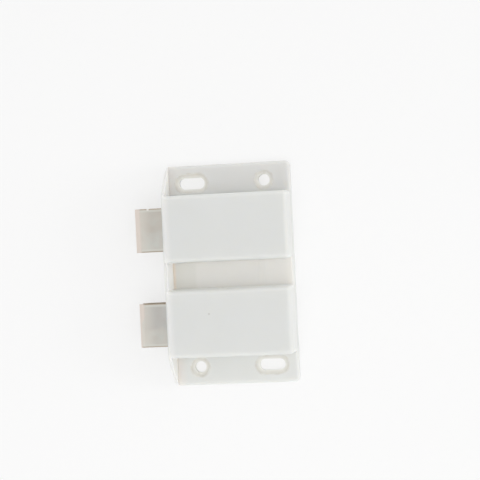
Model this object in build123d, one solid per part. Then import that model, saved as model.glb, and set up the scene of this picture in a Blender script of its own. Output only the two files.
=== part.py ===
from build123d import *
import math
import os

# Double magnetic touch latch for a pair of cabinet doors, in millimetres.
# Frame: the origin is the middle of the mounting face, on the back of the housing.
# +Z points away from the cabinet, +Y runs along the length, through both latches,
# and the plungers come out of the front wall towards -X.
# The latch is drawn open: both plungers stand out and rest against their front stops.

# Housing, moulded in one piece and open at the back
LENGTH = 77.0
WIDTH = 44.0
HEIGHT = 15.5
FLANGE_T = 3.5
BLOCK_W = 23.9
CHANNEL_W = 8.8
FRONT_WALL = 1.4
SIDE_WALL = 1.7
REAR_WALL = 1.8
TOP_WALL = 1.6
REAR_STEP = 0.2
DRAFT = 2.0
FOOT_CORNER_R = 1.5
FOOT_EDGE_R = 1.1
BLOCK_EDGE_R = 1.4
FRONT_EDGE_R = 2.2
CHEEK_BULGE = 0.6
CHEEK_SHOULDER_R = 3.0

# Raised rear part of the channel floor, and the ramp that leads up to it
LIP_H = 0.4
LIP_RAMP = 2.2
LIP_LENGTH = 9.6

# Screw holes: a round one and a slot in each flange, the pair turned half round
HOLE_ROWS = 64.5
HOLE_X = 12.7
SCREW_D = 4.0
SINK_D = 6.6
SLOT_LENGTH = 9.0

# Coring on the back of the thick flanges and of the channel floor
CORE_DEPTH = 1.7
CORE_WIDTH = 6.4
RIB_T = 1.2
FLANGE_CORE_LENGTH = 9.0
CHANNEL_CORES = 4
CHANNEL_CORE_MARGIN = 2.4

# Back covers, one under each latch, held by pegs of the housing that are melted over
COVER_T = 1.6
COVER_SINK = 0.1
COVER_LEDGE = 2.3
COVER_GAP = 0.15
RAIL_T = 1.5
PEG_R = 0.8
PEG_HEAD_R = 1.3
PEG_HEAD_T = 0.5
PEG_SPACING = 28.0
PEG_HOLE_GAP = 0.05

# Magnet head: a ferrite block between two steel pole plates
HEAD_W = 15.0
HEAD_OUT = 9.5
MAGNET_L = 9.4
MAGNET_INSET = 0.2
PLATE_T = 1.4
PLATE_L = 19.3
PLATE_BEVEL = 1.6
PLATE_BEVEL_DROP = 0.8
PLATE_EDGE_R = 0.4
MOUTH_GAP = 0.3
MOUTH_CORNER_R = 0.6

# Rivet through both plates and the nose of the slider
RIVET_R = 1.3
RIVET_GAP = 0.05
RIVET_HEAD_R = 2.3
RIVET_HEAD_T = 0.7
RIVET_BEVEL = 0.35
RIVET_FROM_TAIL = 3.6
RIVET_SUNK = 0.125

# Slider
STROKE = 8.5
LATCHED_AT = 6.5
STOP_GAP = 0.1
REAR_GAP = 0.7
SIDE_GAP = 0.25
SLIDE_GAP = 0.2
POCKET_GAP = 0.1
SLIDER_CORNER_R = 0.6
NOSE_GAP = 0.1

# Latch pin: bent wire that swings in the back cover and runs in the slider's heart-shaped track
PIN_R = 0.6
PIN_ARM = 14.0
PIN_FROM_REAR = 2.6
PIN_SWING_Y = 3.2
PIN_BEND_R = 0.8
PIN_LIFT = 0.3
PIN_TIP_IN = 1.5
PIN_HOLE_GAP = 0.05
PIN_HOLE_DEPTH = 1.8
PIN_BOSS_R = 1.6
PIN_BOSS_H = 0.6
TRACK_GAP = 0.25
TRACK_DEPTH = 2.0
RETURN_STEP = 0.3
NOTCH_MOUTH = 1.15
CUSP_H = 1.1
CUSP_W = 2.6
CUSP_OFFSET = 0.45

# Leaf spring that lifts the pin into its track
LEAF_T = 0.25
LEAF_W = 6.4
LEAF_FOOT = 5.0
LEAF_REACH = 5.0
LEAF_REAR_GAP = 1.2
LEAF_PEG_R = 0.7
LEAF_PEG_H = 0.55
LEAF_GAP = 0.05

# Return spring, on a peg of the rear wall and in the bore of the slider
SPRING_R = 2.25
SPRING_WIRE_R = 0.25
SPRING_TURNS = 8
SPRING_STEPS = 12
BORE_GAP = 0.2
BORE_ROOF_T = 1.05
BORE_FLOOR_T = 2.8
SPRING_PEG_GAP = 0.3
SPRING_PEG_L = 4.0

# Places that follow from the sizes above
FRONT_X = -WIDTH / 2
REAR_X = WIDTH / 2
BLOCK_Y = (BLOCK_W + CHANNEL_W) / 2
BLOCKS_END_Y = BLOCK_W + CHANNEL_W / 2
FLANGE_LENGTH = LENGTH / 2 - BLOCKS_END_Y
CAVITY_FRONT_X = FRONT_X + FRONT_WALL
CAVITY_REAR_X = REAR_X - REAR_STEP - REAR_WALL
CAVITY_W = BLOCK_W - 2 * SIDE_WALL
CAVITY_TOP = HEIGHT - TOP_WALL
COVER_W = CAVITY_W + 2 * COVER_LEDGE
COVER_TOP = COVER_SINK + COVER_T
PEG_Y = CAVITY_W / 2 + COVER_LEDGE / 2
PIN_Z = COVER_TOP + PIN_BOSS_H + SLIDE_GAP + PIN_R
SLIDER_BOTTOM = PIN_Z + PIN_R + PIN_LIFT
SLIDER_TOP = CAVITY_TOP - SIDE_GAP
SLIDER_W = CAVITY_W - 2 * SIDE_GAP
SLIDER_FRONT_X = CAVITY_FRONT_X + STOP_GAP
SLIDER_REAR_X = CAVITY_REAR_X - STROKE - REAR_GAP
HEAD_Z = (SLIDER_BOTTOM + SLIDER_TOP) / 2
MAGNET_T = SLIDER_TOP - SLIDER_BOTTOM - 2 * (PLATE_T + RIVET_HEAD_T + RIVET_SUNK)
HEAD_T = MAGNET_T + 2 * PLATE_T
HEAD_X = FRONT_X - HEAD_OUT
MAGNET_X = HEAD_X + MAGNET_INSET
PLATE_TAIL_X = HEAD_X + PLATE_L
RIVET_X = PLATE_TAIL_X - RIVET_FROM_TAIL
BORE_FLOOR_X = PLATE_TAIL_X + POCKET_GAP + BORE_FLOOR_T
BORE_R = SPRING_R + SPRING_WIRE_R + BORE_GAP
SPRING_Z = SLIDER_TOP - BORE_ROOF_T - BORE_R
PIVOT_X = CAVITY_REAR_X - PIN_FROM_REAR
HOME_X = PIVOT_X - PIN_ARM
PIN_SWING = math.asin(PIN_SWING_Y / PIN_ARM)
THROW_X = STROKE - PIN_ARM * (1 - math.cos(PIN_SWING))
TRACK_R = PIN_R + TRACK_GAP


def box(x0, x1, y0, y1, z0, z1):
    """A block between the given planes."""
    size = Box(x1 - x0, y1 - y0, z1 - z0)
    return Pos((x0 + x1) / 2, (y0 + y1) / 2, (z0 + z1) / 2) * size


def footprint():
    """Outline of the foot, as a prism of full height."""
    outline = RectangleRounded(WIDTH, LENGTH, FOOT_CORNER_R)
    return extrude(outline, amount=HEIGHT)


def foot():
    """The two flanges and the channel floor, as one plate with rounded upper edges."""
    outline = RectangleRounded(WIDTH, LENGTH, FOOT_CORNER_R)
    plate = extrude(outline, amount=FLANGE_T)
    return fillet(plate.faces().sort_by(Axis.Z)[-1].edges(), FOOT_EDGE_R)


def raised_block():
    """One hollow block's outside, drafted and rounded; it runs out past the front wall."""
    length = WIDTH - REAR_STEP + 3 * BLOCK_EDGE_R
    outline = Pos(REAR_X - REAR_STEP - length / 2, 0) * Rectangle(length, BLOCK_W)
    block = extrude(outline, amount=HEIGHT, taper=DRAFT)
    above_foot = [edge for edge in block.edges() if edge.center().Z > FLANGE_T]
    return fillet(above_foot, BLOCK_EDGE_R)


def front_slab():
    """The front of the housing, which slopes down as a cheek on each flange, still too thick."""
    end_y = LENGTH / 2
    middle_y = (BLOCKS_END_Y + end_y) / 2
    middle_z = (HEIGHT + FLANGE_T) / 2
    slope = math.hypot(FLANGE_LENGTH, HEIGHT - FLANGE_T)
    out_y = CHEEK_BULGE * (HEIGHT - FLANGE_T) / slope
    out_z = CHEEK_BULGE * FLANGE_LENGTH / slope
    edges = [Line((-BLOCKS_END_Y, HEIGHT), (BLOCKS_END_Y, HEIGHT))]
    for side in (-1, 1):
        edges.append(
            ThreePointArc(
                (side * BLOCKS_END_Y, HEIGHT),
                (side * (middle_y + out_y), middle_z + out_z),
                (side * end_y, FLANGE_T),
            )
        )
        edges.append(Line((side * end_y, FLANGE_T), (side * end_y, 0)))
    edges.append(Line((-end_y, 0), (end_y, 0)))
    profile = make_face(edges)
    toes = profile.vertices().sort_by(Axis.Y)[2:4]
    profile = fillet(toes, FOOT_EDGE_R)
    shoulders = profile.vertices().sort_by(Axis.Y)[-2:]
    profile = fillet(shoulders, CHEEK_SHOULDER_R)
    return extrude(Plane.YZ.offset(FRONT_X) * profile, amount=2 * FRONT_EDGE_R)


def outer_form():
    """Foot, lip and blocks, with the long front edge rounded, thinned to a wall between the blocks."""
    wall = box(FRONT_X, FRONT_X + FRONT_WALL, -LENGTH / 2, LENGTH / 2, 0, HEIGHT)
    behind_front = box(FRONT_X, REAR_X, -LENGTH / 2, LENGTH / 2, 0, HEIGHT)
    blocks = [Pos(0, side * BLOCK_Y, 0) * raised_block() & behind_front for side in (-1, 1)]
    upper = front_slab() + blocks[0] + blocks[1]
    front_edges = [
        edge
        for edge in upper.edges()
        if abs(edge.bounding_box().max.X - FRONT_X) < 1e-4
        and edge.bounding_box().max.Z > FLANGE_T + 1e-3
    ]
    upper = fillet(front_edges, FRONT_EDGE_R) & footprint()
    return (upper & wall) + (upper & blocks[0]) + (upper & blocks[1]) + foot() + channel_lip()


def channel_lip():
    """The rear of the channel floor stands a little higher, up a short ramp, with a rounded end."""
    low = FLANGE_T - FOOT_EDGE_R
    high = FLANGE_T + LIP_H
    rear_x = REAR_X - FOOT_EDGE_R / 2
    top_x = rear_x - LIP_LENGTH
    side = make_face(
        Polyline(
            (top_x - LIP_RAMP, low),
            (top_x - LIP_RAMP, FLANGE_T),
            (top_x, high),
            (rear_x, high),
            (rear_x, low),
            (top_x - LIP_RAMP, low),
        )
    )
    rear_edge = side.vertices().sort_by(Axis.X)[-2:].sort_by(Axis.Y)[-1]
    side = fillet(rear_edge, LIP_H)
    return extrude(Plane.XZ * side, amount=CHANNEL_W / 2 + BLOCK_EDGE_R, both=True)


def sunk_hole(straight):
    """A countersunk hole for a screw, stretched along X by the given length."""
    sink_depth = (SINK_D - SCREW_D) / 2
    if straight > 0:
        through = SlotCenterToCenter(straight, SCREW_D)
        mouth = SlotCenterToCenter(straight, SINK_D)
    else:
        through = Circle(SCREW_D / 2)
        mouth = Circle(SINK_D / 2)
    hole = extrude(through, amount=FLANGE_T)
    top = Pos(0, 0, FLANGE_T) * mouth
    return hole + extrude(top, amount=-sink_depth, taper=45 * (1 - 1e-4))


def screw_holes():
    """A round hole and a slot in each flange, the second pair turned half round."""
    row = HOLE_ROWS / 2
    slot = SLOT_LENGTH - SCREW_D
    return [
        Pos(-HOLE_X, -row, 0) * sunk_hole(0),
        Pos(HOLE_X, -row, 0) * sunk_hole(slot),
        Pos(HOLE_X, row, 0) * sunk_hole(0),
        Pos(-HOLE_X, row, 0) * sunk_hole(slot),
    ]


def cores():
    """Shallow pockets in the back that keep the wall even, with ribs between them."""
    pockets = []
    flange_y = HOLE_ROWS / 2 + (FLANGE_LENGTH - CORE_WIDTH) / 2 - RIB_T
    for side in (-1, 1):
        for half in (-1, 1):
            pocket_l = (FLANGE_CORE_LENGTH - RIB_T) / 2
            x = half * (pocket_l + RIB_T) / 2
            pockets.append(Pos(x, side * flange_y, 0) * Box(pocket_l, CORE_WIDTH, 2 * CORE_DEPTH))
    span = CAVITY_REAR_X - CAVITY_FRONT_X - 2 * CHANNEL_CORE_MARGIN
    pitch = (span + RIB_T) / CHANNEL_CORES
    for i in range(CHANNEL_CORES):
        x = CAVITY_FRONT_X + CHANNEL_CORE_MARGIN + pitch * (i + 0.5) - RIB_T / 2
        width = CHANNEL_W - 2 * (COVER_LEDGE - SIDE_WALL) - 2 * RIB_T
        pockets.append(Pos(x, 0, 0) * Box(pitch - RIB_T, width, 2 * CORE_DEPTH))
    return pockets


def housing():
    body = outer_form()
    mouth = RectangleRounded(HEAD_W + 2 * MOUTH_GAP, HEAD_T + 2 * MOUTH_GAP, MOUTH_CORNER_R)
    mouth = extrude(Plane.YZ.offset(FRONT_X) * mouth, amount=FRONT_WALL)
    for side in (-1, 1):
        y = side * BLOCK_Y
        half = CAVITY_W / 2
        ledge = COVER_W / 2
        body -= box(CAVITY_FRONT_X, CAVITY_REAR_X, y - half, y + half, 0, CAVITY_TOP)
        body -= box(CAVITY_FRONT_X, CAVITY_REAR_X, y - ledge, y + ledge, 0, COVER_TOP)
        body -= Pos(0, y, HEAD_Z) * mouth
        spring_peg = Plane.YZ.offset(CAVITY_REAR_X) * Circle(
            SPRING_R - SPRING_WIRE_R - SPRING_PEG_GAP
        )
        body += Pos(0, y, SPRING_Z) * extrude(spring_peg, amount=-SPRING_PEG_L)
        for x, peg_y in cover_peg_places():
            body += Pos(x, y + peg_y, COVER_SINK) * staked_peg()
    for cut in screw_holes() + cores():
        body -= cut
    return body


def cover_peg_places():
    """Where the four pegs of a back cover stand, from the middle of its block."""
    middle_x = (CAVITY_FRONT_X + CAVITY_REAR_X) / 2
    return [
        (middle_x + i * PEG_SPACING / 2, j * PEG_Y)
        for i in (-1, 1)
        for j in (-1, 1)
    ]


def staked_peg():
    """A peg under the ledge, its end melted into a flat head."""
    head = extrude(Circle(PEG_HEAD_R), amount=PEG_HEAD_T)
    return head + extrude(Circle(PEG_R), amount=COVER_T)


def back_cover():
    """Plate that closes one cavity, with the slider's rails and the pin's bearing."""
    gap = COVER_GAP
    half = COVER_W / 2 - gap
    plate = box(
        CAVITY_FRONT_X + gap, CAVITY_REAR_X - gap, -half, half, COVER_SINK, COVER_TOP
    )
    rail_y = CAVITY_W / 2 - SIDE_GAP
    for side in (-1, 1):
        inner, outer = sorted((side * rail_y, side * (rail_y - RAIL_T)))
        plate += box(
            CAVITY_FRONT_X + gap,
            CAVITY_REAR_X - gap,
            inner,
            outer,
            COVER_TOP,
            SLIDER_BOTTOM - SLIDE_GAP,
        )
    plate += Pos(PIVOT_X, 0, COVER_TOP) * extrude(Circle(PIN_BOSS_R), amount=PIN_BOSS_H)
    plate += Pos(leaf_foot_x(), 0, COVER_TOP) * extrude(Circle(LEAF_PEG_R), amount=LEAF_PEG_H)
    bearing = extrude(Circle(PIN_R + PIN_HOLE_GAP), amount=-PIN_HOLE_DEPTH)
    plate -= Pos(PIVOT_X, 0, COVER_TOP + PIN_BOSS_H) * bearing
    head = extrude(Circle(PEG_HEAD_R + PEG_HOLE_GAP), amount=PEG_HEAD_T + PEG_HOLE_GAP)
    shank = extrude(Circle(PEG_R + PEG_HOLE_GAP), amount=COVER_T)
    for x, y in cover_peg_places():
        plate -= Pos(x, y, COVER_SINK) * (head + shank)
    return plate


def magnet():
    block = box(
        MAGNET_X,
        MAGNET_X + MAGNET_L,
        MAGNET_INSET - HEAD_W / 2,
        HEAD_W / 2 - MAGNET_INSET,
        HEAD_Z - MAGNET_T / 2,
        HEAD_Z + MAGNET_T / 2,
    )
    return block


def outer_pole_plate():
    """Steel plate on the side away from the cabinet, bevelled where it meets the strike."""
    bottom = HEAD_Z + MAGNET_T / 2
    plate = box(HEAD_X, PLATE_TAIL_X, -HEAD_W / 2, HEAD_W / 2, bottom, bottom + PLATE_T)
    top = plate.faces().sort_by(Axis.Z)[-1]
    front = top.edges().sort_by(Axis.X)[0]
    plate = chamfer(front, PLATE_BEVEL_DROP, PLATE_BEVEL, reference=plate.faces().sort_by(Axis.X)[0])
    top = plate.faces().sort_by(Axis.Z)[-1]
    sides = top.edges().filter_by(Axis.X)
    plate = fillet(sides, PLATE_EDGE_R)
    return plate - Pos(RIVET_X, 0, bottom) * extrude(Circle(RIVET_R + RIVET_GAP), amount=PLATE_T)


def inner_pole_plate():
    """The same plate turned over, on the cabinet side of the magnet."""
    return mirror(outer_pole_plate(), about=Plane.XY.offset(HEAD_Z))


def head_rivet():
    """Rivet with two low heads, turned about its own axis."""
    half = HEAD_T / 2
    tip = half + RIVET_HEAD_T
    profile = make_face(
        Polyline(
            (0, -tip),
            (RIVET_HEAD_R, -tip),
            (RIVET_HEAD_R, -half),
            (RIVET_R, -half),
            (RIVET_R, half),
            (RIVET_HEAD_R, half),
            (RIVET_HEAD_R, tip),
            (0, tip),
            (0, -tip),
        )
    )
    rims = [v for v in profile.vertices() if v.X > RIVET_R + 1e-3 and abs(v.Y) > half + 1e-3]
    profile = chamfer(rims, RIVET_BEVEL)
    return Pos(RIVET_X, 0, HEAD_Z) * revolve(Plane.XZ * profile, Axis.Z)


def cam_track():
    """The pin's track, cut in the slider: a rounded triangle round a heart-shaped island."""
    home = Pos(HOME_X, 0) * Circle(TRACK_R)
    turns = [Pos(HOME_X - THROW_X, side * PIN_SWING_Y) * Circle(TRACK_R) for side in (-1, 1)]
    outline = make_hull((home + turns).edges())
    island = offset(outline, -2 * TRACK_R, kind=Kind.INTERSECTION)
    rest_x = HOME_X - LATCHED_AT
    front_x = HOME_X - THROW_X + TRACK_R
    roof_x = HOME_X - THROW_X - TRACK_R
    seat = Pos(rest_x, 0) * Circle(TRACK_R)
    mouth = make_face(
        Polyline(
            (rest_x, TRACK_R),
            (front_x, NOTCH_MOUTH),
            (front_x, -NOTCH_MOUTH),
            (rest_x, -TRACK_R),
            (rest_x, TRACK_R),
        )
    )
    heart = island - seat - mouth
    cusp = make_face(
        Polyline(
            (roof_x, CUSP_OFFSET - CUSP_W / 2),
            (roof_x + CUSP_H, CUSP_OFFSET),
            (roof_x, CUSP_OFFSET + CUSP_W / 2),
            (roof_x, CUSP_OFFSET - CUSP_W / 2),
        )
    )
    track = outline - heart - cusp
    way_in = track & Pos(HOME_X, CAVITY_W / 2) * Rectangle(4 * STROKE, CAVITY_W)
    base = Pos(0, 0, SLIDER_BOTTOM)
    return base * extrude(track, amount=TRACK_DEPTH - RETURN_STEP) + base * extrude(
        way_in, amount=TRACK_DEPTH
    )


def slider():
    """Moulded slider: a nose between the pole plates, a bore for the spring, the cam track."""
    half = SLIDER_W / 2
    body = box(SLIDER_FRONT_X, SLIDER_REAR_X, -half, half, SLIDER_BOTTOM, SLIDER_TOP)
    body = fillet(body.edges().filter_by(Axis.X), SLIDER_CORNER_R)
    pocket_half = HEAD_W / 2 + POCKET_GAP
    pocket_end = PLATE_TAIL_X + POCKET_GAP
    for low, high in (
        (SLIDER_BOTTOM, HEAD_Z - MAGNET_T / 2),
        (HEAD_Z + MAGNET_T / 2, SLIDER_TOP),
    ):
        body -= box(SLIDER_FRONT_X, pocket_end, -pocket_half, pocket_half, low, high)
    nose_half = HEAD_W / 2 - MAGNET_INSET
    body += box(
        MAGNET_X + MAGNET_L + NOSE_GAP,
        SLIDER_FRONT_X,
        -nose_half,
        nose_half,
        HEAD_Z - MAGNET_T / 2,
        HEAD_Z + MAGNET_T / 2,
    )
    body -= Pos(RIVET_X, 0, HEAD_Z) * Cylinder(RIVET_R + RIVET_GAP, HEAD_T)
    bore = Plane.YZ.offset(BORE_FLOOR_X) * Circle(BORE_R)
    body -= Pos(0, 0, SPRING_Z) * extrude(bore, amount=SLIDER_REAR_X - BORE_FLOOR_X)
    return body - cam_track()


def latch_pin():
    """Bent wire: one leg down in the cover's bearing, one leg up in the cam track."""
    foot_z = COVER_TOP + PIN_BOSS_H - PIN_HOLE_DEPTH + SLIDE_GAP
    tip_z = SLIDER_BOTTOM + PIN_TIP_IN
    path = FilletPolyline(
        (PIVOT_X, 0, foot_z),
        (PIVOT_X, 0, PIN_Z),
        (HOME_X, 0, PIN_Z),
        (HOME_X, 0, tip_z),
        radius=PIN_BEND_R,
    )
    return sweep(Plane((PIVOT_X, 0, foot_z), z_dir=(0, 0, 1)) * Circle(PIN_R), path)


def leaf_foot_x():
    """Middle of the leaf spring's foot, just in front of the pin's bearing."""
    return PIVOT_X - PIN_BOSS_R - LEAF_REAR_GAP - LEAF_FOOT / 2


def leaf_spring():
    """Flat foot on the back cover and a tongue that rises to the pin."""
    foot_rear = leaf_foot_x() + LEAF_FOOT / 2
    foot_front = foot_rear - LEAF_FOOT
    top = PIN_Z - PIN_R - LEAF_GAP
    low = COVER_TOP
    side = make_face(
        Polyline(
            (foot_rear, low),
            (foot_front, low),
            (foot_front - LEAF_REACH, top - LEAF_T),
            (foot_front - LEAF_REACH, top),
            (foot_front, low + LEAF_T),
            (foot_rear, low + LEAF_T),
            (foot_rear, low),
        )
    )
    strip = extrude(Plane.XZ * side, amount=LEAF_W / 2, both=True)
    return strip - Pos(leaf_foot_x(), 0, low) * Cylinder(LEAF_PEG_R + LEAF_GAP, 4 * LEAF_T)


def return_spring():
    """Compression spring between the bore's floor and the rear wall, its helix in short steps."""
    height = CAVITY_REAR_X - BORE_FLOOR_X - 2 * SPRING_WIRE_R
    steps = round(SPRING_TURNS * SPRING_STEPS)
    path = []
    for i in range(steps + 1):
        angle = 2 * math.pi * SPRING_TURNS * i / steps
        x = BORE_FLOOR_X + SPRING_WIRE_R + height * i / steps
        path.append((x, SPRING_R * math.cos(angle), SPRING_Z + SPRING_R * math.sin(angle)))
    coil = Polyline(*path)
    section = Plane(coil @ 0, z_dir=coil % 0) * RegularPolygon(SPRING_WIRE_R, 8)
    return sweep(section, coil, transition=Transition.RIGHT)


PER_LATCH = {
    "back_cover": back_cover,
    "slider": slider,
    "magnet": magnet,
    "outer_pole_plate": outer_pole_plate,
    "inner_pole_plate": inner_pole_plate,
    "head_rivet": head_rivet,
    "return_spring": return_spring,
    "latch_pin": latch_pin,
    "leaf_spring": leaf_spring,
}

os.makedirs("parts", exist_ok=True)
export_step(housing(), "parts/housing.step")
for name, make in PER_LATCH.items():
    piece = make()
    for prefix, side in (("upper", 1), ("lower", -1)):
        placed = Pos(0, side * BLOCK_Y, 0) * piece
        export_step(placed, f"parts/{prefix}_{name}.step")
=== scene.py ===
# %% [markdown]
# # A double magnetic touch latch
# This lesson dresses the imported model of a cabinet latch: a white moulded housing with two sprung
# plungers that end in magnets between nickel-plated steel plates. The shapes come from the CAD model.
# Here they get their finishes, the small marks that moulding and stamping leave, painted light and
# shade, real light and a camera.

# %% Load the model
import math

import bmesh
import bpy
from mathutils import Matrix, Vector


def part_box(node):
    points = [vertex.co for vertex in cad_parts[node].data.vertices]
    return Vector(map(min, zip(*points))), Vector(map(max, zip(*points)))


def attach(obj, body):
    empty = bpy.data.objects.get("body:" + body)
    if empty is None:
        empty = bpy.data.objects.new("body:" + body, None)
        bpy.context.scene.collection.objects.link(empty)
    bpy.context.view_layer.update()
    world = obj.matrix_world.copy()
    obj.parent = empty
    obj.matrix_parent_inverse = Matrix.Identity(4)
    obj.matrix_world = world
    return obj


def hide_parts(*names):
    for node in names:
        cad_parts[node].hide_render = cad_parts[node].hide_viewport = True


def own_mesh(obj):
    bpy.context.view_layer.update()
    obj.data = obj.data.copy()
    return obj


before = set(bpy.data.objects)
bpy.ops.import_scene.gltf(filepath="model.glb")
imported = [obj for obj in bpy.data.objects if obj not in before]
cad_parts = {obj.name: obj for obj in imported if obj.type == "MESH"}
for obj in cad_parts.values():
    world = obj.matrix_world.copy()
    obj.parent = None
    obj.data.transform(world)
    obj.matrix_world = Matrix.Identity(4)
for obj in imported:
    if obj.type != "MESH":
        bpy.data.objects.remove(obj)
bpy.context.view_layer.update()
MM = 0.001

# %% [markdown]
# The housing is the frame of the whole thing, so most places are read from its box: its middle, its
# front and rear faces, and its top. The two latches are mirror images, one above the middle line and
# one below it.

# %% Places on the housing
LATCHES = ("upper", "lower")
housing_low, housing_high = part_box("housing")
housing_middle = (housing_low + housing_high) / 2
print("housing in mm", [round(v / MM, 2) for v in (*housing_low, *housing_high)])

# %% [markdown]
# Materials are node trees. A small helper starts one and gives back its tree, its shader and the place
# on the piece, so that each finish below is only the nodes that make it different. Object coordinates
# are used everywhere: they stay fixed to the piece, in metres, so a pattern has the same true scale on
# every piece. A second helper opens a finished material again, to paint over the colour that it has.


# %% Helpers that start a material and open it again
def start_finish(name):
    finish = bpy.data.materials.new(name)
    finish.use_nodes = True
    tree = finish.node_tree
    place = tree.nodes.new("ShaderNodeTexCoord").outputs["Object"]
    return finish, tree, tree.nodes["Principled BSDF"], place


def open_finish(finish):
    """The tree, shader and place of a material, and the output that gives its colour so far."""
    tree = finish.node_tree
    shader = tree.nodes["Principled BSDF"]
    place = tree.nodes["Texture Coordinate"].outputs["Object"]
    return tree, shader, place, shader.inputs["Base Color"].links[0].from_socket


# %% [markdown]
# Every pattern below is built from the same few nodes, so each has a helper that adds it and gives back
# its output: a value spread over a new range, a sum, a blend of two things, and a soft noise. The last
# is never quite 0 or 1, so patterns below are often spread over a range that reaches past both.


# %% Helpers for single nodes
def feed(tree, socket, source):
    """Gives a socket a number or a colour, or links the output of another node to it."""
    if isinstance(source, bpy.types.NodeSocket):
        tree.links.new(source, socket)
    else:
        socket.default_value = source


def ramp(tree, value, start, end, low, high, interpolation="LINEAR"):
    """A number that goes from low to high as the value goes from start to end, and no further."""
    spread = tree.nodes.new("ShaderNodeMapRange")
    spread.interpolation_type = interpolation
    numbers = {"From Min": start, "From Max": end, "To Min": low, "To Max": high}
    for socket, number in numbers.items():
        spread.inputs[socket].default_value = number
    tree.links.new(value, spread.inputs["Value"])
    return spread.outputs["Result"]


def between(tree, amount, low, high):
    """Turns an amount from 0 to 1 into a number from low to high."""
    return ramp(tree, amount, 0, 1, low, high)


def calculate(tree, operation, *terms):
    """One sum on numbers or on the outputs of other nodes."""
    step = tree.nodes.new("ShaderNodeMath")
    step.operation = operation
    for socket, term in zip(step.inputs, terms):
        feed(tree, socket, term)
    return step.outputs["Value"]


def blend(tree, amount, first, second, kind="RGBA"):
    """Mixes two colours, or two numbers where the kind is FLOAT, by an amount from 0 to 1."""
    mix = tree.nodes.new("ShaderNodeMix")
    mix.data_type = kind
    for socket, source in (("Factor", amount), ("A", first), ("B", second)):
        feed(tree, mix.inputs[socket], source)
    return mix.outputs["Result"]


def noise(tree, place, size_mm, detail=2.0, roughness=0.5, stretch=(1, 1, 1)):
    """Soft mottling whose blotches are about size_mm across, optionally drawn out along an axis."""
    turn = tree.nodes.new("ShaderNodeMapping")
    turn.inputs["Scale"].default_value = stretch
    tree.links.new(place, turn.inputs["Vector"])
    texture = tree.nodes.new("ShaderNodeTexNoise")
    texture.inputs["Scale"].default_value = 1 / (size_mm * MM)
    texture.inputs["Detail"].default_value = detail
    texture.inputs["Roughness"].default_value = roughness
    tree.links.new(turn.outputs["Vector"], texture.inputs["Vector"])
    return texture.outputs["Fac"]


# %% [markdown]
# On top of those come helpers that speak of the object. Relief stacks bumps on a shader, and a tint is
# a thin coat of paint. Where it goes is an amount from 0 to 1, which is mostly a fade: it is none at
# one distance from a mark on the object and full at another. The product of amounts is full only where
# all of them are. Colours are written as they look on screen, from 0 to 255.


# %% Helpers for relief, places and tints
def linear(red, green, blue):
    """A colour given as 0 to 255 on screen, as the linear values that nodes use."""
    levels = [level / 255 for level in (red, green, blue)]
    return (*(v / 12.92 if v <= 0.04045 else ((v + 0.055) / 1.055) ** 2.4 for v in levels), 1)


def relief(tree, shader, heights):
    """Stacks bumps on the shader: pairs of a height from 0 to 1 and its depth in mm."""
    normal = None
    for height, depth_mm in heights:
        bump = tree.nodes.new("ShaderNodeBump")
        bump.inputs["Strength"].default_value = 1.0
        bump.inputs["Distance"].default_value = depth_mm * MM
        tree.links.new(height, bump.inputs["Height"])
        if normal is not None:
            tree.links.new(normal, bump.inputs["Normal"])
        normal = bump.outputs["Normal"]
    tree.links.new(normal, shader.inputs["Normal"])


def split_place(tree, place):
    """The X, Y and Z of a place, each as an output."""
    split = tree.nodes.new("ShaderNodeSeparateXYZ")
    tree.links.new(place, split.inputs["Vector"])
    return split.outputs["X"], split.outputs["Y"], split.outputs["Z"]


def past(tree, value, mark_mm):
    """How far a value is beyond a mark; before the mark it is negative."""
    return calculate(tree, "SUBTRACT", value, mark_mm * MM)


def away_from(tree, value, mark_mm):
    """How far a value is from a mark, on either side of it."""
    return calculate(tree, "ABSOLUTE", past(tree, value, mark_mm))


def fade(tree, value, none_mm, full_mm):
    """An amount that is 0 where the value is none_mm and 1 from full_mm on."""
    return ramp(tree, value, none_mm * MM, full_mm * MM, 0, 1, "SMOOTHSTEP")


def product(tree, *amounts):
    """One amount that is full only where all the given ones are."""
    result = amounts[0]
    for amount in amounts[1:]:
        result = calculate(tree, "MULTIPLY", result, amount)
    return result


def tint(tree, colour, paint, amount, strength):
    """Lays a paint over a colour, by an amount from 0 to 1 and a strength."""
    return blend(tree, product(tree, amount, strength), colour, paint)


# %% [markdown]
# The housing is white ABS from a spark-eroded mould. Such a surface is satin, not glossy: a fine
# grain of about a quarter of a millimetre breaks up the reflections. Moulded plastic is also never
# quite even, so very faint clouds run through the white, and the gloss changes slightly with them.
# A flat white with one roughness value would look like a drawing of plastic, so grain, clouds and
# gloss each get their own noise. Some of the light goes a few millimetres into the plastic and comes
# out again beside it, which softens the shading; that is the subsurface part. The covers and the ivory
# sliders are made the same way, each with its own white, grain and gloss.


# %% White moulded plastic
def make_moulded_plastic(name, colour, shade, grain_depth, gloss):
    finish, tree, shader, place = start_finish(name)
    clouds = noise(tree, place, size_mm=14, detail=3)
    tree.links.new(blend(tree, clouds, shade, colour), shader.inputs["Base Color"])
    tree.links.new(between(tree, clouds, gloss - 0.04, gloss + 0.04), shader.inputs["Roughness"])
    grain = noise(tree, place, size_mm=0.28, detail=3, roughness=0.6)
    waves = noise(tree, place, size_mm=6, detail=1)
    relief(tree, shader, [(waves, 0.03), (grain, grain_depth)])
    shader.inputs["IOR"].default_value = 1.5
    shader.inputs["Specular IOR Level"].default_value = 0.4
    shader.inputs["Subsurface Weight"].default_value = 0.8
    shader.inputs["Subsurface Radius"].default_value = (1.0, 0.95, 0.85)
    shader.inputs["Subsurface Scale"].default_value = 3 * MM
    return finish


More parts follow.
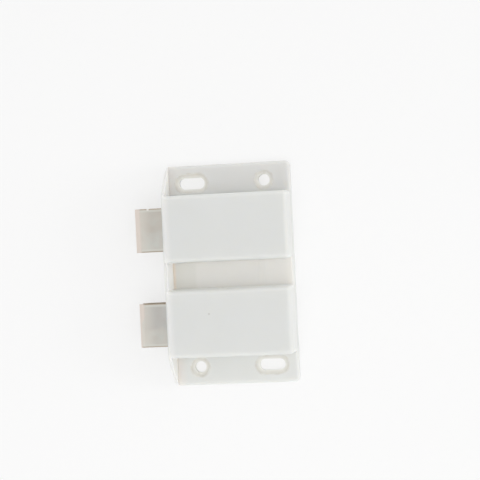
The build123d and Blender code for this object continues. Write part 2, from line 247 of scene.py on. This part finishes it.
housing_white = make_moulded_plastic(
    "housing_white", linear(223, 224, 222), linear(220, 221, 218), grain_depth=0.006, gloss=0.46
)
cover_white = make_moulded_plastic(
    "cover_white", linear(223, 224, 222), linear(219, 220, 217), grain_depth=0.008, gloss=0.5
)
slider_ivory = make_moulded_plastic(
    "slider_ivory", linear(228, 226, 218), linear(222, 219, 210), grain_depth=0.003, gloss=0.36
)
print("plastics ready")

# %% [markdown]
# The pole plates are stamped from mild steel and nickel plated in a barrel. The rolling of the strip
# leaves a fine grain along it, the barrel leaves soft blotches, and nickel is a slightly warm grey.
# The grain is a noise stretched a long way along one axis, the blotches are a plain noise. The wire of
# the springs and pins and the zinc of the rivets differ only in colour, gloss and the grain's axis.


# %% Plated steel
GRAIN_STRETCH = 0.04


def make_plated_steel(name, colour, shade, gloss, grain_axis):
    finish, tree, shader, place = start_finish(name)
    shader.inputs["Metallic"].default_value = 1.0
    stretch = tuple(GRAIN_STRETCH if axis == grain_axis else 1 for axis in "XYZ")
    blotches = noise(tree, place, size_mm=5, detail=3)
    grain = noise(tree, place, size_mm=0.12, detail=2, stretch=stretch)
    tree.links.new(blend(tree, blotches, shade, colour), shader.inputs["Base Color"])
    tree.links.new(between(tree, blotches, gloss - 0.06, gloss + 0.08), shader.inputs["Roughness"])
    relief(tree, shader, [(blotches, 0.02), (grain, 0.0012)])
    return finish


plate_nickel = make_plated_steel(
    "plate_nickel", linear(216, 213, 205), linear(202, 198, 191), gloss=0.34, grain_axis="Y"
)
wire_steel = make_plated_steel(
    "wire_steel", linear(172, 174, 178), linear(150, 152, 157), gloss=0.3, grain_axis="X"
)
rivet_zinc = make_plated_steel(
    "rivet_zinc", linear(190, 192, 194), linear(170, 172, 175), gloss=0.38, grain_axis="Z"
)
print("metals ready")

# %% [markdown]
# The pole plates show more than that. The plating drifts between a greener and a duller grey over two
# or three millimetres. The upper half of each plate is painted darker and duller as painted shade, with
# a wandering lower edge; it is browner on the upper head than on the lower one. Towards the front the
# plating is paler.

# %% Drifts, painted shade and a paler front on the pole plates
plate_low, plate_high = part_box("upper_outer_pole_plate")
PLATE_MIDDLE = (plate_low.y + plate_high.y) / 2 / MM
PLATE_HALF = (plate_high.y - plate_low.y) / 2 / MM
DRIFT_RANGE = (-1.2, 2.2)
SHADE_WANDER = 5 * MM
UPPER_HALF_SHADES = ((1, linear(196, 186, 174), 0.32), (-1, linear(186, 184, 182), 0.45))
tree, shader, place, plating = open_finish(plate_nickel)
x, y, z = split_place(tree, place)
from_front = past(tree, x, plate_low.x / MM)
greener = between(tree, noise(tree, place, size_mm=2.6, detail=1), *DRIFT_RANGE)
plating = tint(tree, plating, linear(209, 214, 208), greener, 0.4)
duller = between(tree, noise(tree, place, size_mm=3.1, detail=1), *DRIFT_RANGE)
plating = tint(tree, plating, linear(198, 192, 184), duller, 0.3)
head_middle = product(tree, calculate(tree, "SIGN", y), PLATE_MIDDLE * MM)
up_from_middle = calculate(tree, "SUBTRACT", y, head_middle)
wander = between(tree, noise(tree, place, size_mm=6, detail=2), -SHADE_WANDER, SHADE_WANDER)
# Painted shade: the upper half of each plate is painted darker and duller, with a wandering lower edge.
shaded_upper_half = fade(tree, calculate(tree, "ADD", up_from_middle, wander), -2.8, 0)
for side, paint, strength in UPPER_HALF_SHADES:
    on_this_head = fade(tree, y, -side, side)
    plating = tint(tree, plating, paint, product(tree, shaded_upper_half, on_this_head), strength)
# Paler towards the front of each plate.
paler_front = fade(tree, from_front, 6.5, 1.4)
plating = tint(tree, plating, linear(232, 227, 217), paler_front, 0.55)
print("pole plate: middle", round(PLATE_MIDDLE, 2), "half width", round(PLATE_HALF, 2), "mm")

# %% [markdown]
# Along both long edges of a plate a thin brown line is painted shade, with a paler line of painted
# highlight inside it. The bevel at the front is painted a faint pink as painted reflection, and it is
# narrower on the lower part of the lower head. A small painted highlight sits on the upper edge of the
# upper head.

# %% Painted edge lines, highlight and bevel reflection of the pole plates
GLINT_X = -26.9
NARROW_FROM, NARROW_TO = -13, -16
NARROWER_BY = 1.3 * MM
plate_edge, plate_top = plate_high.y / MM, plate_high.z / MM
from_middle = away_from(tree, calculate(tree, "ABSOLUTE", y), PLATE_MIDDLE)
# Painted highlight: a paler line just inside each long edge.
painted_highlight_line = fade(tree, from_middle, PLATE_HALF - 1.3, PLATE_HALF - 0.9)
plating = tint(tree, plating, linear(226, 226, 218), painted_highlight_line, 0.5)
# Painted shade: a thin brown line along each long edge.
painted_shade_line = fade(tree, from_middle, PLATE_HALF - 0.45, PLATE_HALF - 0.2)
plating = tint(tree, plating, linear(184, 168, 148), painted_shade_line, 1.0)
# Painted highlight: a small bright spot on the upper edge of the upper head.
edge_glint = product(
    tree,
    fade(tree, away_from(tree, x, GLINT_X), 0.5, 0.25),
    fade(tree, y, plate_edge - 0.85, plate_edge - 0.45),
    fade(tree, z, plate_top - 0.5, plate_top - 0.3),
)
plating = tint(tree, plating, linear(240, 238, 232), edge_glint, 1.0)
# Painted reflection: the front bevel is painted a faint pink, narrower on the lower part of the lower
# head.
narrower = product(tree, fade(tree, y, NARROW_FROM, NARROW_TO), NARROWER_BY)
bevel = fade(tree, calculate(tree, "ADD", from_front, narrower), 2.3, 1.3)
plating = tint(tree, plating, linear(228, 217, 208), bevel, 0.9)
tree.links.new(plating, shader.inputs["Base Color"])
print("tints of the pole plates:", len(tree.nodes), "nodes")

# %% [markdown]
# The magnets are pressed and fired ferrite, ground flat where the plates sit. They are a dull
# charcoal with a fine grit and paler dust in the pores.

# %% Ferrite
ferrite_black, tree, shader, place = start_finish("ferrite_black")
grit = noise(tree, place, size_mm=0.2, detail=4, roughness=0.7)
dust = noise(tree, place, size_mm=2.5, detail=4)
dusty = between(tree, dust, -0.4, 1.1)
charcoal = blend(tree, dusty, linear(108, 101, 94), linear(126, 119, 111))
tree.links.new(charcoal, shader.inputs["Base Color"])
tree.links.new(between(tree, grit, 0.6, 0.85), shader.inputs["Roughness"])
relief(tree, shader, [(grit, 0.02)])
print("ferrite ready")

# %% [markdown]
# The housing's white is not the same everywhere. Many of its marks are painted light and shade. They
# could be other materials on chosen faces, but those end in hard lines. Here they are painted into the
# white by place: how far a point is from the front face, from the middle line, or from a screw hole.
# First comes what lies low down. The floor of the channel is painted a paler, warmer white, as painted
# light that lifts the shade of the channel. Its front part is a little olive, the painted shadow of the
# front wall, and a brown line in the corner behind the front wall is painted shade. The flanges are
# warmer where they meet that wall. None of it runs up the walls or over the front face, so each amount
# also fades out there.

# %% Painted light and shade in the channel, and warm corners of the flanges
FLANGE_TOP, CHANNEL_HALF, BLOCK_END = 3.5, 4.8, 28.3
REAR_FACE = housing_high.x / MM
tree, shader, place, white = open_finish(housing_white)
x, y, z = split_place(tree, place)
across = calculate(tree, "ABSOLUTE", y)
from_front = past(tree, x, housing_low.x / MM)
beside_blocks = fade(tree, across, CHANNEL_HALF + 0.4, CHANNEL_HALF)
low_down = product(
    tree,
    fade(tree, z, FLANGE_TOP + 2.5, FLANGE_TOP + 0.5),
    fade(tree, from_front, 1.0, 1.3),
)
before_rear = fade(tree, x, REAR_FACE - 0.1, REAR_FACE - 0.8)
in_channel = product(tree, beside_blocks, low_down, before_rear)
# Painted shadow of the front wall: the front part of the channel floor is tinted olive.
wall_shadow = product(tree, in_channel, fade(tree, from_front, 10.2, 8.6))
# Painted shade: a brown line in the corner behind the front wall.
corner_shade = product(tree, in_channel, fade(tree, from_front, 2.7, 1.8))
on_flange = fade(tree, across, BLOCK_END - 0.3, BLOCK_END + 0.7)
warm_corner = product(tree, fade(tree, from_front, 5.5, 1.8), on_flange, low_down)
# Painted light: the channel floor is painted paler and warmer, to lift its shade.
white = tint(tree, white, linear(231, 229, 225), in_channel, 0.9)
white = tint(tree, white, linear(212, 213, 206), wall_shadow, 0.28)
white = tint(tree, white, linear(236, 224, 212), corner_shade, 0.6)
white = tint(tree, white, linear(232, 223, 216), warm_corner, 0.4)
print("channel", 2 * CHANNEL_HALF, "mm wide, blocks end at", BLOCK_END, "mm")

# %% [markdown]
# Painted light stands for the light that comes through the long front edge, which is painted paler for
# about three millimetres where the blocks are behind it. Where they are not, in the channel and on the
# cheeks past the blocks, the front wall is only a thin one: its top edge is painted greyer as painted
# shade, and its back is painted paler as painted light that it catches, less so on the cheeks. The
# flange at the upper end is painted a little grey as painted shade.

# %% Painted light on the front edge and wall, and painted shade at the upper end
SHADE_FROM, SHADE_TO = 26, 31
FRONT_WALL = 1.4
past_face = fade(tree, from_front, 0.3, 0.8)
past_blocks = fade(tree, across, BLOCK_END - 0.3, BLOCK_END + 0.3)
thin_wall = calculate(tree, "ADD", past_blocks, beside_blocks)
solid_wall = calculate(tree, "SUBTRACT", 1, thin_wall)
front_glow = product(tree, fade(tree, from_front, 3.6, 0.4), solid_wall, past_face)
thin_wall = product(tree, thin_wall, fade(tree, z, FLANGE_TOP + 0.3, FLANGE_TOP + 1.0))
on_edge = fade(tree, from_front, FRONT_WALL - 0.06, FRONT_WALL - 0.18)
on_back = fade(tree, from_front, FRONT_WALL - 0.18, FRONT_WALL - 0.06)
shaded_wall_edge = product(tree, thin_wall, on_edge, past_face)
less_on_cheeks = calculate(tree, "SUBTRACT", 1, product(tree, past_blocks, 0.55))
wall_back = product(tree, thin_wall, on_back, fade(tree, from_front, 2.0, 1.6), less_on_cheeks)
shaded_upper_end = product(tree, fade(tree, y, SHADE_FROM, SHADE_TO), low_down)
white = tint(tree, white, linear(236, 235, 232), front_glow, 0.7)
# Painted shade: the top edge of the thin front wall is painted greyer.
white = tint(tree, white, linear(213, 213, 211), shaded_wall_edge, 0.8)
white = tint(tree, white, linear(246, 245, 243), wall_back, 0.9)
# Painted shade: the flange at the upper end is painted greyer.
white = tint(tree, white, linear(216, 215, 213), shaded_upper_end, 0.65)
print("front wall", FRONT_WALL, "mm thick")

# %% [markdown]
# Each flange has a round screw hole and a slot, both countersunk. The cone of the countersink is a
# warmer white, painted paler deep down by the hole as painted light, and its rim has a thin, patchy
# brownish line. A slot is a hole that is drawn out along X, so one helper serves for both: it measures
# the distance from a short line, which for a round hole is only a point. The two flanges have the hole
# and the slot in opposite places, so X counts the other way on the lower one.


# %% Screw holes
def middle_line_distance(tree, along, across, centre_along, centre_across, half_mm):
    """Distance from a short line along X, which is a point where half_mm is 0."""
    beyond = past(tree, away_from(tree, along, centre_along), half_mm)
    beyond = calculate(tree, "MAXIMUM", beyond, 0)
    aside = past(tree, across, centre_across)
    squares = [calculate(tree, "MULTIPLY", v, v) for v in (beyond, aside)]
    return calculate(tree, "SQRT", calculate(tree, "ADD", *squares))


HOLE_X, HOLE_Y, SLOT_HALF, RIM_R = 12.7, 32.25, 2.5, 3.3
along = product(tree, x, calculate(tree, "SIGN", y))
patches = between(tree, noise(tree, place, size_mm=2.2, detail=2), -0.7, 1.7)
for centre, half in ((HOLE_X, 0), (-HOLE_X, SLOT_HALF)):
    reach = middle_line_distance(tree, along, across, centre, HOLE_Y, half)
    cone = fade(tree, reach, RIM_R + 0.05, RIM_R - 0.35)
    hole_light = fade(tree, reach, RIM_R - 0.5, RIM_R - 1.4)
    rim = product(tree, fade(tree, away_from(tree, reach, RIM_R), 0.65, 0.05), patches)
    white = tint(tree, white, linear(221, 219, 213), cone, 0.8)
    # Painted light: the cone is painted paler near the hole.
    white = tint(tree, white, linear(242, 241, 237), hole_light, 0.6)
    white = tint(tree, white, linear(194, 187, 175), rim, 0.55)
    print("screw hole at", centre, HOLE_Y, "mm, half length", half, "mm")

# %% [markdown]
# Last of the marks is one small grey speck on the top of the lower block, such as a grain of burnt
# plastic leaves. It is under a millimetre across, and on the top face only.

# %% Speck on the lower block
SPECK_X, SPECK_Y = -6.9, -13.0
BLOCK_TOP = housing_high.z / MM
from_speck = middle_line_distance(tree, x, y, SPECK_X, SPECK_Y, 0)
on_top = fade(tree, z, BLOCK_TOP - 1.0, BLOCK_TOP - 0.5)
speck = product(tree, fade(tree, from_speck, 0.5, 0.2), on_top)
white = tint(tree, white, linear(190, 188, 183), speck, 0.6)
tree.links.new(white, shader.inputs["Base Color"])
print("marks of the housing:", len(tree.nodes), "nodes")

# %% [markdown]
# Each CAD piece takes the finish of its kind, which is the same on both latches. The mesh of a CAD
# piece is never changed; only the material in its slot is.

# %% Give the CAD pieces their finishes
FINISH_OF = {
    "housing": housing_white,
    "back_cover": cover_white,
    "slider": slider_ivory,
    "magnet": ferrite_black,
    "outer_pole_plate": plate_nickel,
    "inner_pole_plate": plate_nickel,
    "head_rivet": rivet_zinc,
    "return_spring": wire_steel,
    "latch_pin": wire_steel,
    "leaf_spring": wire_steel,
}
for node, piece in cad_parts.items():
    kind = node.removeprefix("upper_").removeprefix("lower_")
    piece.data.materials.clear()
    piece.data.materials.append(FINISH_OF[kind])
print("finished", len(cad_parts), "pieces")

# %% [markdown]
# Each return spring stands between its plunger and the rear wall, so it has to shorten as the plunger
# goes in. A copy of the spring, its loose triangles merged into one surface, stands for the rigid one
# and is attached to the frame.

# %% Working copies of the springs
for name in LATCHES:
    node = f"{name}_return_spring"
    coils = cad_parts[node].data.copy()
    merged = bmesh.new()
    merged.from_mesh(coils)
    bmesh.ops.remove_doubles(merged, verts=merged.verts, dist=0.001 * MM)
    merged.to_mesh(coils)
    merged.free()
    spring = bpy.data.objects.new(f"{name}_working_spring", coils)
    bpy.context.collection.objects.link(spring)
    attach(spring, "frame")
    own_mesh(spring)
    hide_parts(node)

# %% [markdown]
# The latch lies on its back on a white sheet. A plain plane is enough, because only its colour and
# the object's soft shadow show. Part of the white is given to the camera directly, so the sheet looks
# bright without throwing more light up under the latch.

# %% White floor
FLOOR_SIZE = 3.0
SHOWN_WHITE = 0.93
SHOWN_SHARE = 0.6
floor_mesh = bpy.data.meshes.new("floor")
sheet = bmesh.new()
bmesh.ops.create_grid(sheet, x_segments=1, y_segments=1, size=FLOOR_SIZE / 2)
sheet.to_mesh(floor_mesh)
sheet.free()
floor = bpy.data.objects.new("floor", floor_mesh)
bpy.context.collection.objects.link(floor)
paper, tree, shader, place = start_finish("white_paper")
fibres = noise(tree, place, size_mm=3, detail=4)
sheet_white = blend(tree, fibres, linear(250, 250, 250), linear(253, 253, 252))
tree.links.new(sheet_white, shader.inputs["Base Color"])
shader.inputs["Roughness"].default_value = 0.95
shader.inputs["Specular IOR Level"].default_value = 0.1
glow = tree.nodes.new("ShaderNodeEmission")
glow.inputs["Strength"].default_value = SHOWN_WHITE
rays = tree.nodes.new("ShaderNodeLightPath")
either = tree.nodes.new("ShaderNodeMixShader")
share = between(tree, rays.outputs["Is Camera Ray"], 0, SHOWN_SHARE)
tree.links.new(share, either.inputs["Fac"])
tree.links.new(shader.outputs["BSDF"], either.inputs[1])
tree.links.new(glow.outputs["Emission"], either.inputs[2])
tree.links.new(either.outputs["Shader"], tree.nodes["Material Output"].inputs["Surface"])
floor_mesh.materials.append(paper)
print("floor", FLOOR_SIZE, "m square")

# %% [markdown]
# White plastic shows its form only if the light is soft and nearly even, as in a white tent. Most of
# the light comes from the surround, which is set below. A broad lamp close over the lower end makes
# that end a little brighter than the other. A low lamp at the rear lifts the edges and faces that look
# that way. Three weak lamps, in front and at both ends, fill the steep faces; they cast no shadows,
# so they add no dark edges of their own. Each lamp is given by the level that it alone would give a
# surface that faces it, where 1 shows a colour just as it is written. The power for that level grows
# with the square of the distance. Its turn is counted from the rear round to the upper end, and its
# height up from the sheet.

# %% Soft studio light
LAMP_SIZE = 300 * MM


def add_lamp(name, turn_deg, height_deg, distance_mm, level, shadows=True):
    light = bpy.data.lights.new(name, "AREA")
    light.shape = "DISK"
    light.size = LAMP_SIZE
    light.energy = level * math.pi**2 * (distance_mm * MM) ** 2
    light.use_shadow = shadows
    lamp = bpy.data.objects.new(name, light)
    turn, height = math.radians(turn_deg), math.radians(height_deg)
    away = Vector(
        (math.cos(turn) * math.cos(height), math.sin(turn) * math.cos(height), math.sin(height))
    )
    lamp.location = housing_middle + away * distance_mm * MM
    lamp.rotation_mode = "QUATERNION"
    lamp.rotation_quaternion = (-away).to_track_quat("-Z", "Y")
    lamp.visible_glossy = False
    bpy.context.collection.objects.link(lamp)
    print(name, round(light.energy, 2), "W")


add_lamp("top_lamp", turn_deg=-90, height_deg=76, distance_mm=340, level=0.20)
add_lamp("rear_lamp", turn_deg=0, height_deg=18, distance_mm=700, level=0.22)
for name, turn_deg, level in (("front", 180, 0.14), ("upper", 90, 0.12), ("lower", -90, 0.12)):
    add_lamp(f"{name}_fill", turn_deg, height_deg=18, distance_mm=700, level=level, shadows=False)

# %% [markdown]
# The surround gives most of the light, evenly from all sides. What the metal mirrors is set apart from
# that: for glossy rays the surround is dimmer low down, paler overhead and palest towards the front,
# so the flat of a pole plate and the bevel at its front differ as they do under a white tent. A world
# is read by direction: height is 1 straight up, and towards_rear is 1 at the rear and -1 in front.
# What the camera sees past the edge of the sheet is nearly white.

# %% Pale surround
SURROUND_LEVEL = 0.70
SEEN_LEVEL = 0.96
MIRRORED_LOW, MIRRORED_OVERHEAD, MIRRORED_FRONT = 0.55, 0.87, 0.98
LOW_UP_TO, OVERHEAD_FROM = 0.05, 0.4
FRONTWARD_FROM, FRONTWARD_TO = -0.45, -0.8
surround = bpy.data.worlds.new("surround")
surround.use_nodes = True
tree = surround.node_tree
rays = tree.nodes.new("ShaderNodeLightPath")
direction = tree.nodes.new("ShaderNodeTexCoord").outputs["Generated"]
towards_rear, _, height = split_place(tree, direction)
overhead = ramp(tree, height, LOW_UP_TO, OVERHEAD_FROM, MIRRORED_LOW, MIRRORED_OVERHEAD)
extra = MIRRORED_FRONT - MIRRORED_OVERHEAD
frontward = ramp(tree, towards_rear, FRONTWARD_FROM, FRONTWARD_TO, 0, extra)
mirrored = calculate(tree, "ADD", overhead, frontward)
level = blend(tree, rays.outputs["Is Glossy Ray"], SURROUND_LEVEL, mirrored, kind="FLOAT")
level = blend(tree, rays.outputs["Is Camera Ray"], level, SEEN_LEVEL, kind="FLOAT")
tree.links.new(level, tree.nodes["Background"].inputs["Strength"])
tree.nodes["Background"].inputs["Color"].default_value = (1, 1, 1, 1)
bpy.context.scene.world = surround
print("surround", SURROUND_LEVEL, "mirrored from", MIRRORED_LOW, "to", MIRRORED_FRONT)

# %% [markdown]
# The camera looks almost straight down on the latch, from a little towards its rear, so that the
# front wall's inner side and the rear faces just show. The latch is turned a few degrees in the
# picture, and the picture is centred a little above and behind the middle of the housing.

# %% Camera
VIEW_TILT = math.radians(7.0)
VIEW_ROLL = math.radians(2.8)
VIEW_DISTANCE = 427 * MM
VIEW_WIDTH = 165.9 * MM
AIM_RIGHT = 3.4 * MM
AIM_UP = 11.8 * MM
SENSOR_MM = 36
camera_data = bpy.data.cameras.new("camera")
camera_data.sensor_width = SENSOR_MM
camera_data.lens = SENSOR_MM * VIEW_DISTANCE / VIEW_WIDTH
camera_data.clip_start, camera_data.clip_end = 0.01, 10
camera = bpy.data.objects.new("camera", camera_data)
bpy.context.collection.objects.link(camera)
back = Vector((math.sin(VIEW_TILT), 0, math.cos(VIEW_TILT)))
up = Matrix.Rotation(-VIEW_ROLL, 3, back) @ Vector((0, 1, 0))
right = up.cross(back)
aim = housing_middle + right * AIM_RIGHT + up * AIM_UP
camera.matrix_world = Matrix.Translation(aim + back * VIEW_DISTANCE) @ (
    Matrix((right, up, back)).transposed().to_4x4()
)
bpy.context.scene.camera = camera
bpy.context.scene.view_settings.view_transform = "Standard"
print("lens", round(camera_data.lens, 1), "mm")
